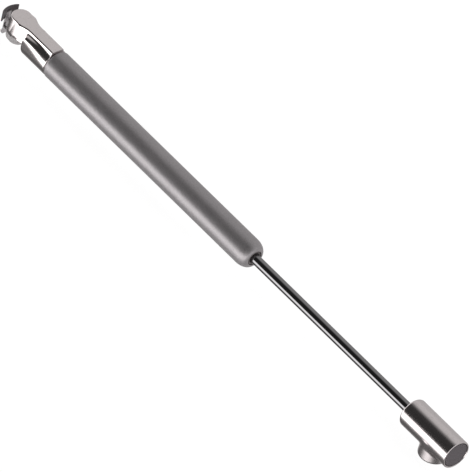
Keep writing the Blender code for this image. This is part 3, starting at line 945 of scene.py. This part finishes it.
# Heights from the strut's axis, and lengths, of the upper head and its clip.
HEAD_BOTTOM = -1.7 * MM
PRONG_Z = AXIS_Z - 3.4 * MM
PRONG_END = HEAD_X + 2.4 * MM
CLIP_WALL = 0.9 * MM
BAND_HEIGHT = 8.2 * MM
FOOT_RADIUS = 1.4 * MM

# The upper fitting's form, in millimetres; the near side is the one at negative y.
ARM_DRAFT = 0.37
ARM_FILLET, FILLET_RUN = 8, 5
NEAR_SQUARENESS, FAR_SQUARENESS = 6, 1
NEAR_LEDGE, FAR_LEDGE = 1.2, 0.8


def neck_form(along, across, up, radius, reach):
    """Signed distance to the neck: round at the tube, squarer and lower towards the head."""
    near = across < 0
    share = np.clip(-along / reach, 0, 1)
    power = 2 + np.where(near, NEAR_SQUARENESS, FAR_SQUARENESS) * share**2
    tall = radius - np.where(near, NEAR_LEDGE, FAR_LEDGE) * share
    shape = (np.abs(across) / radius) ** power + (np.maximum(up, 0) / tall) ** power
    squared = (np.maximum(shape, 1e-6) ** (1 / power) - 1) * (radius + tall) / 2
    skirt = np.where(up > 0, squared, np.hypot(across, up) - radius)
    return rounded_corner(skirt, np.maximum(-reach - along, along + 0.3), 1.0)


def keyhole_form(along, across, up, head_x, head_radius, head_top, arm_top, top):
    """Signed distance to the walls of the drafted head and of the arm that runs into it."""
    draft = (head_radius - head_top) / (top - 1)
    around = np.hypot(along - head_x, across) - head_radius + draft * np.maximum(up - 1, 0)
    flank = np.abs(across) - np.minimum(arm_top + ARM_DRAFT * (top - up), head_radius - 0.1)
    flank = np.maximum(flank * 0.94, np.maximum(head_x - along, along + 0.3))
    fillet = ARM_FILLET * np.clip((along - head_x) / FILLET_RUN, 0.02, 1)
    return np.maximum(blended(around * 0.99, flank, fillet), along + 0.3)


class STRUT_OT_upper_fitting(StrutPiece, bpy.types.Operator):
    """The upper end fitting: round neck, flat-topped arm and socket head, cast in one"""

    bl_idname = "strut.upper_fitting"
    bl_label = "Upper End Fitting"

    def make(self, sizes):
        piece, tube = SPANS["upper_end_fitting"], SPANS["cylinder_tube"]
        seat, plug = SPANS["upper_ball_seat"], SPANS["end_plug"]
        low = AXIS_Z + HEAD_BOTTOM
        head_wall = HEAD_X - piece.start
        body = self.skin(sizes, piece, tube, low, head_wall)
        cup_wall = sizes.ball_radius + 1.4 * MM
        pocket = blind_hole(seat.top + GAP, cup_wall, 0.4 * MM, low + 0.2 * MM, low - 1 * MM)
        cut(body, turned("pocket", pocket, (HEAD_X, 0, 0), "Z"))
        hole, face = sizes.stud_radius + GAP, tube.start
        thread = blind_hole(plug.start - GAP, hole, 0.3 * MM, face - 0.7 * MM, face + 0.5 * MM)
        cut(body, turned("stud_hole", thread))
        cut(body, prong_gap(sizes))
        crisp(body)
        hand_over(body, "upper_end_fitting")

    def skin(self, sizes, piece, tube, low, head_wall):
        """The cast outside, before its holes."""
        head_x = (HEAD_X - tube.start) / MM
        top, bottom = (piece.top - AXIS_Z) / MM, HEAD_BOTTOM / MM
        neck, reach = sizes.neck_radius / MM, sizes.neck_length / MM
        widths = (head_wall / MM, sizes.head_top_radius / MM, sizes.arm_half_width / MM)

        def field(places):
            along, across, up = places.T
            base = neck_form(along, across, up, neck, reach)
            walls = keyhole_form(along, across, up, head_x, *widths, top)
            head = rounded_corner(walls, np.maximum(up - top, bottom - up), 0.6)
            return blended(head, base, 0.8)

        end = tube.start - GAP
        rough_neck = bar(tube.start - sizes.neck_length, end, sizes.neck_radius)
        rough_head = bar(low, piece.top, head_wall)
        rough = [
            turned("neck", rough_neck, turns=64),
            level_strip(
                "arm",
                [(HEAD_X, 0), (end, 0)],
                (piece.top + low) / 2,
                sizes.arm_half_width + 1.5 * MM,
                (piece.top - low) / 2,
                0.6 * MM,
            ),
            turned("head", rough_head, (HEAD_X, 0, 0), "Z", turns=64),
        ]
        return cast_skin("upper_cast_fitting", rough, field, (tube.start, 0, AXIS_Z))


def prong_gap(sizes):
    """The slot that the clip's prongs pass through, a little wider than the ball's cup."""
    places = [(HEAD_X - 9.4 * MM, 0), (PRONG_END + GAP, 0)]
    half_height = CLIP_WALL / 2 + GAP
    return level_strip(
        "prong_gap", places, PRONG_Z, sizes.ball_radius + GAP, half_height, 0.2 * MM
    )


class STRUT_OT_upper_seat(StrutPiece, bpy.types.Operator):
    """The plastic ball seat in the head, with the collar that shows below it"""

    bl_idname = "strut.upper_seat"
    bl_label = "Upper Ball Seat"

    def make(self, sizes):
        seat = SPANS["upper_ball_seat"]
        cup = sizes.ball_radius
        sleeve = cup + 1.1 * MM
        collar_top = AXIS_Z + HEAD_BOTTOM - GAP
        collar_low = collar_top - 4.1 * MM
        profile = [
            (seat.top, 0.5 * MM, 0.1 * MM),
            (seat.top, sleeve, 0.4 * MM),
            (collar_top, sleeve, 0.1 * MM),
            (collar_top, seat.radius, 0.5 * MM),
            (collar_low, seat.radius, 1.1 * MM),
            (collar_low, sleeve, 0.3 * MM),
            (seat.bottom, sleeve, 0.4 * MM),
            (seat.bottom, cup, 0.3 * MM),
        ]
        profile += cup_hollow(AXIS_Z, cup)
        body = turned("upper_seat_cup", profile, (HEAD_X, 0, 0), "Z")
        cut(body, prong_gap(sizes))
        crisp(body)
        hand_over(body, "upper_ball_seat")


class STRUT_OT_retaining_clip(StrutPiece, bpy.types.Operator):
    """The retaining clip: curved band, web, rolled foot and two prongs, from one strip"""

    bl_idname = "strut.retaining_clip"
    bl_label = "Retaining Clip"

    def make(self, sizes):
        clip = SPANS["retaining_clip"]
        radius = HEAD_X - clip.start - FOOT_RADIUS
        half = CLIP_WALL / 2
        middle = radius - half
        reach = math.asin(min(0.99, clip.radius / radius))
        turns = [math.pi - reach + 2 * reach * step / 24 for step in range(25)]
        band_z = clip.top - BAND_HEIGHT / 2
        path = [(HEAD_X + middle * math.cos(t), middle * math.sin(t), band_z) for t in turns]
        sides = [(math.cos(t), math.sin(t), 0) for t in turns]
        body = swept("bent_clip", path, sides, (0, 0, 1), half, BAND_HEIGHT / 2, 0.3 * MM)
        foot_z = clip.bottom + FOOT_RADIUS
        web_x = HEAD_X - middle
        down = [clip.top - 2.6 * MM - step * 1.4 * MM for step in range(12)]
        down = [spot for spot in down if spot > foot_z + 0.4 * MM] + [foot_z]
        path = [(web_x + 0.12 * MM, 0, spot) for spot in down]
        sides = [(1, 0, 0)] * len(down)
        join(body, swept("web", path, sides, (0, 1, 0), half + 0.12 * MM, 1.75 * MM, 0.25 * MM))
        lug = bar(-1.5 * MM, 1.5 * MM, FOOT_RADIUS)
        foot = (HEAD_X - radius, 0, foot_z)
        join(body, turned("rolled_foot", lug, foot, "Y", corner=0.35 * MM, turns=48))
        outer = sizes.ball_radius - 0.75 * MM
        for sign in (1, -1):
            spots = [(web_x, 0.95 * MM), (HEAD_X - 10.2 * MM, 1.5 * MM)]
            spots += [(HEAD_X - 9.2 * MM, outer - 0.5 * MM), (HEAD_X - 8.2 * MM, outer)]
            spots += [(HEAD_X, outer), (PRONG_END, outer)]
            places = [(x, sign * y) for x, y in spots]
            join(body, level_strip("prong", places, PRONG_Z, 0.75 * MM, half, 0.2 * MM))
        crisp(body)
        hand_over(body, "retaining_clip")


class STRUT_OT_lower_fitting(StrutPiece, bpy.types.Operator):
    """The lower end fitting: round body with the socket boss on its side"""

    bl_idname = "strut.lower_fitting"
    bl_label = "Lower End Fitting"

    def make(self, sizes):
        piece, cap = SPANS["lower_end_fitting"], SPANS["lower_end_cap"]
        seat = SPANS["lower_ball_seat"]
        centre = (BOSS_X, 0, AXIS_Z)
        start, end = (piece.start - BOSS_X) / MM, (piece.end - BOSS_X) / MM
        radius, boss = sizes.body_radius / MM, sizes.boss_radius / MM
        low = (piece.bottom - AXIS_Z) / MM

        def field(places):
            along, across, up = places.T
            body = rounded_end(places, start, end, radius, 1.6, 0.5)
            flare = boss - 0.45 * np.clip((up - low - 1) / 6, 0, 1)
            wall = np.hypot(along, across) - flare
            stub = rounded_corner(wall, np.maximum(low - up, up), 0.6)
            return blended(body, stub, 1.2)

        rough_body = turned("body", bar(piece.start, piece.end, sizes.body_radius), turns=64)
        boss_bar = bar(piece.bottom, AXIS_Z, sizes.boss_radius)
        rough_boss = turned("boss", boss_bar, (BOSS_X, 0, 0), "Z", turns=64)
        body = cast_skin("lower_cast_fitting", [rough_body, rough_boss], field, centre)
        wall, base = seat.radius + GAP, piece.bottom
        pocket = blind_hole(seat.top + GAP, wall, 0.4 * MM, base + 0.5 * MM, base - 1 * MM)
        cut(body, turned("pocket", pocket, (BOSS_X, 0, 0), "Z"))
        hole, inner = sizes.rod_radius + GAP, SPANS["piston_rod"].end + GAP
        thread = blind_hole(inner, hole, 0.3 * MM, piece.start + GAP, piece.start - 1 * MM)
        cut(body, turned("rod_hole", thread))
        rim, face = cap.radius + GAP, piece.end
        recess = blind_hole(cap.start - GAP, rim, 0.2 * MM, face - 0.2 * MM, face + 1 * MM)
        cut(body, turned("cap_recess", recess))
        crisp(body)
        hand_over(body, "lower_end_fitting")


class STRUT_OT_lower_cap(StrutPiece, bpy.types.Operator):
    """The grey cap pressed into the lower fitting's end"""

    bl_idname = "strut.lower_cap"
    bl_label = "Lower End Cap"

    def make(self, sizes):
        cap = SPANS["lower_end_cap"]
        face = cap.end - 0.15 * MM
        profile = [
            (cap.start, 0),
            (cap.start, cap.radius, 0.3 * MM),
            (cap.end - 0.35 * MM, cap.radius, 0.3 * MM),
            (cap.end, cap.radius - 0.35 * MM, 0.15 * MM),
            (cap.end, cap.radius - 0.6 * MM, 0.15 * MM),
            (face, cap.radius - 0.9 * MM, 0.15 * MM),
            (face, 0),
        ]
        hand_over(turned("pressed_end_cap", profile), "lower_end_cap")


class STRUT_OT_lower_seat(StrutPiece, bpy.types.Operator):
    """The plastic ball seat in the boss and the snap ring that holds the ball"""

    bl_idname = "strut.lower_seat"
    bl_label = "Lower Ball Seat and Snap Ring"

    def make(self, sizes):
        seat, snap = SPANS["lower_ball_seat"], SPANS["lower_snap_ring"]
        cup = sizes.ball_radius
        ball_z = seat.top - cup - 1 * MM
        wire = (snap.top - snap.bottom) / 2
        groove = wire + GAP
        profile = [
            (seat.top, 0.5 * MM, 0.1 * MM),
            (seat.top, seat.radius, 0.4 * MM),
            (seat.bottom, seat.radius, 0.4 * MM),
            (seat.bottom, cup, 0.3 * MM),
            (snap.z - groove, cup, 0.1 * MM),
            (snap.z - groove, cup + groove, 0.2 * MM),
            (snap.z + groove, cup + groove, 0.2 * MM),
            (snap.z + groove, cup, 0.1 * MM),
        ]
        profile += cup_hollow(ball_z, cup)
        hand_over(turned("lower_seat_cup", profile, (BOSS_X, 0, 0), "Z"), "lower_ball_seat")
        section = wire_section(snap.z, snap.radius - wire, wire)
        wire_ring = turned("snap_wire", section, (BOSS_X, 0, 0), "Z", corner=0)
        hand_over(wire_ring, "lower_snap_ring")


# --- Studio ---

VIEW_BACK = Vector((0.5, -0.5567, 0.6634)).normalized()
ROLL = math.radians(44.3)
TARGET = Vector((4.55, 1.14, 13.76)) * MM
CAMERA_DISTANCE = 11.0
FRAME_HEIGHT = 267.17 * MM
SENSOR = 36.0


def studio_world():
    """Soft studio surroundings: a long white strip low in front, a dim card above, dark between."""
    look = Look(bpy.data.worlds.new("studio"))
    place = look.node("ShaderNodeTexCoord", output="Generated")
    towards = Vector((0, VIEW_BACK.y, VIEW_BACK.z)).normalized()
    beside = Vector((0, -towards.z, towards.y))

    def along(direction):
        inputs = {0: place, 1: tuple(direction)}
        return look.node("ShaderNodeVectorMath", {"operation": "DOT_PRODUCT"}, inputs, "Value")

    angle = along(beside).sum("ARCTAN2", along(beside), along(towards))
    turn = angle / (2 * math.pi) + 0.5
    stops = [
        (degrees / 360 + 0.5, (level, level * 0.975, level * 0.978))
        for degrees, level in STRIPS
    ]
    ramp = look.node("ShaderNodeValToRGB", {"stops": stops}, {"Fac": turn})
    sides = along((1, 0, 0))
    aside = look.spread(sides * sides, 0.72, 0.95, 0, 1)
    tone = look.mix(aside, ramp, (0.45, 0.44, 0.445))
    surroundings = look.node("ShaderNodeBackground", inputs={"Color": tone, "Strength": 2.4})
    plain = look.node("ShaderNodeBackground", inputs={"Color": (1, 1, 1, 1), "Strength": 1.0})
    seen = look.node("ShaderNodeLightPath", output="Is Camera Ray")
    both = look.node("ShaderNodeMixShader", inputs={0: seen, 1: surroundings, 2: plain})
    look.node("ShaderNodeOutputWorld", inputs={"Surface": both})
    return look.owner


# Degrees round the strut from the camera's side, downwards in front, and the level there.
STRIPS = [
    (-180, 0.20),
    (-115, 0.20),
    (-85, 0.235),
    (-60, 0.215),
    (-46, 0.085),
    (-34, 0.016),
    (0, 0.012),
    (28, 0.014),
    (39, 0.07),
    (46, 1.0),
    (76, 1.0),
    (85, 0.32),
    (95, 0.07),
    (130, 0.04),
    (180, 0.20),
]


class STRUT_OT_stage(StrutPiece, bpy.types.Operator):
    """The pale floor, the soft light and the camera"""

    bl_idname = "strut.stage"
    bl_label = "Studio Stage"

    def make(self, sizes):
        scene = bpy.context.scene
        for obj in [o for o in scene.objects if o.type in ("LIGHT", "CAMERA")]:
            bpy.data.objects.remove(obj, do_unlink=True)
        scene.world = studio_world()
        scene.view_settings.view_transform = "Standard"
        self.lay_floor()
        self.hang_light("softbox_above", (-0.3, 0.9, 1.6), 1.2, 4.0)
        self.set_camera(scene)

    def lay_floor(self):
        """A pale floor half a millimetre under the strut, which the polished pieces don't show."""
        corners = [(-9, -9), (9, -9), (9, 9), (-9, 9)]
        points = [(x, y, -0.5 * MM) for x, y in corners]
        floor = mesh_object("studio_floor", points, [(0, 1, 2, 3)])
        look = new_look("pale_floor")
        mottle = look.noise(look.place(), 14, 2.0, 0.5)
        level = look.spread(mottle, 0.3, 0.7, 0.94, 0.96)
        tint = (*bpy.context.scene.strut_colours.floor, 1)
        matt = look.node("ShaderNodeBsdfDiffuse", inputs={"Color": tint})
        glow = look.node("ShaderNodeEmission", inputs={"Color": (1, 1, 1, 1), "Strength": level})
        both = look.node("ShaderNodeAddShader", inputs={0: matt, 1: glow})
        look.node("ShaderNodeOutputMaterial", inputs={"Surface": both})
        floor.data.materials.append(look.owner)
        floor.visible_glossy = False

    def set_camera(self, scene):
        """A long lens from far off, so that the strut's lines stay parallel."""
        camera = bpy.data.objects.new("studio_camera", bpy.data.cameras.new("studio_camera"))
        scene.collection.objects.link(camera)
        camera.data.sensor_width = SENSOR
        camera.data.lens = SENSOR * CAMERA_DISTANCE / FRAME_HEIGHT
        camera.data.clip_start = 0.1
        camera.data.clip_end = 60
        along = Vector((1, 0, 0))
        along = (along - along.dot(VIEW_BACK) * VIEW_BACK).normalized()
        beside = VIEW_BACK.cross(along) * -1
        right = along * math.cos(ROLL) - beside * math.sin(ROLL)
        up = -(along * math.sin(ROLL) + beside * math.cos(ROLL))
        turned_to = Matrix((right, up, VIEW_BACK)).transposed().to_4x4()
        spot = TARGET + VIEW_BACK * CAMERA_DISTANCE
        camera.matrix_world = Matrix.Translation(spot) @ turned_to
        scene.camera = camera

    def hang_light(self, name, spot, side, watts):
        """A square soft light that faces the strut."""
        light = bpy.data.lights.new(name, "AREA")
        light.size = side
        light.energy = watts
        obj = bpy.data.objects.new(name, light)
        obj.location = spot
        obj.rotation_euler = Vector(spot).to_track_quat("Z", "Y").to_euler()
        bpy.context.scene.collection.objects.link(obj)
        obj.visible_glossy = False


class STRUT_PT_panel(bpy.types.Panel):
    """Lists the strut's sizes, colours and makers in the sidebar"""

    bl_idname = "STRUT_PT_panel"
    bl_label = "Gas Strut Stay"
    bl_space_type = "VIEW_3D"
    bl_region_type = "UI"
    bl_category = "Strut"

    def draw(self, context):
        layout = self.layout
        for group in (context.scene.strut_sizes, context.scene.strut_colours):
            box = layout.box()
            for name in group.__annotations__:
                box.prop(group, name)
        for maker in MAKERS:
            layout.operator(maker.bl_idname)


MAKERS = (
    STRUT_OT_stage,
    STRUT_OT_tube,
    STRUT_OT_end_plug,
    STRUT_OT_guide_pack,
    STRUT_OT_seal_pack,
    STRUT_OT_piston_rod,
    STRUT_OT_piston_stack,
    STRUT_OT_upper_fitting,
    STRUT_OT_upper_seat,
    STRUT_OT_retaining_clip,
    STRUT_OT_lower_fitting,
    STRUT_OT_lower_cap,
    STRUT_OT_lower_seat,
)
CLASSES = (StrutSizes, StrutColours, *MAKERS, STRUT_PT_panel)


def register():
    for item in CLASSES:
        bpy.utils.register_class(item)
    bpy.types.Scene.strut_sizes = PointerProperty(type=StrutSizes)
    bpy.types.Scene.strut_colours = PointerProperty(type=StrutColours)


def unregister():
    del bpy.types.Scene.strut_colours
    del bpy.types.Scene.strut_sizes
    for item in reversed(CLASSES):
        bpy.utils.unregister_class(item)


def main():
    register()
    for maker in MAKERS:
        getattr(bpy.ops.strut, maker.bl_idname.split(".")[1])()


if __name__ == "__main__":
    main()
